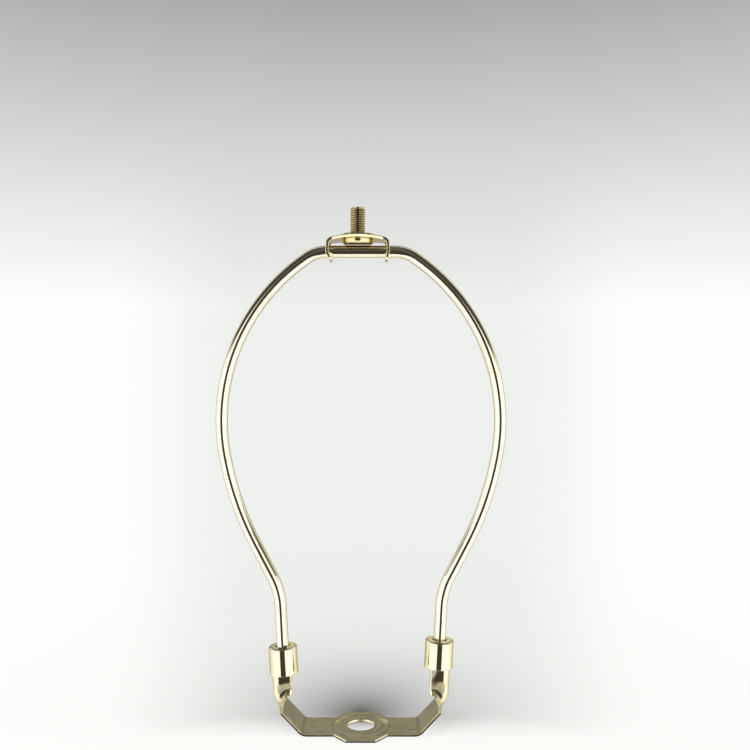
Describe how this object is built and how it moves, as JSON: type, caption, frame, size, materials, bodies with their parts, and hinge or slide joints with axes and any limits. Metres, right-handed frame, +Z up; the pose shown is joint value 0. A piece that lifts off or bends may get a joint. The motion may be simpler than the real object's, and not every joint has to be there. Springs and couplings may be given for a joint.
{
  "type": "lamp harp",
  "caption": "Detachable wire bow for a table lamp, with a stamped saddle, two sliding ferrules and a swivelling shade rest with a threaded stud.",
  "frame": {"origin": "centre of the saddle's hole, level with the saddle's underside", "axes": "+Z up the harp to the stud, X across the bow, Y through the bow"},
  "size_m": [0.1204, 0.028, 0.2156],
  "materials": {
    "plated_saddle": "pale brass plating, polished",
    "plated_wire": "pale brass plating, mirror polished",
    "plated_ferrule": "pale brass plating, mirror polished",
    "plated_bracket": "pale brass plating, polished",
    "plated_screw": "brass plating, slightly warmer, threaded stud"
  },
  "bodies": {
    "saddle": {"saddle": "plated_saddle"},
    "bow": {"harp_bow": "plated_wire"},
    "ferrule_left": {"ferrule_left": "plated_ferrule"},
    "ferrule_right": {"ferrule_right": "plated_ferrule"},
    "swivel": {"swivel_bracket": "plated_bracket", "finial_screw": "plated_screw"}
  },
  "joints": [
    {"name": "bow_lift", "type": "slide", "parent": "saddle", "child": "bow", "axis": [0, 0, 1], "range_m": [0, 0.02]},
    {"name": "ferrule_left_slide", "type": "slide", "parent": "bow", "child": "ferrule_left", "axis": [-0.0523, 0, 0.9986], "range_m": [0, 0.017]},
    {"name": "ferrule_right_slide", "type": "slide", "parent": "bow", "child": "ferrule_right", "axis": [0.0523, 0, 0.9986], "range_m": [-0.0025, 0.0145]},
    {"name": "shade_swivel", "type": "hinge", "parent": "bow", "child": "swivel", "pos_m": [-0.0013, 0, 0.19736], "axis": [1, 0, 0], "continuous": true}
  ]
}
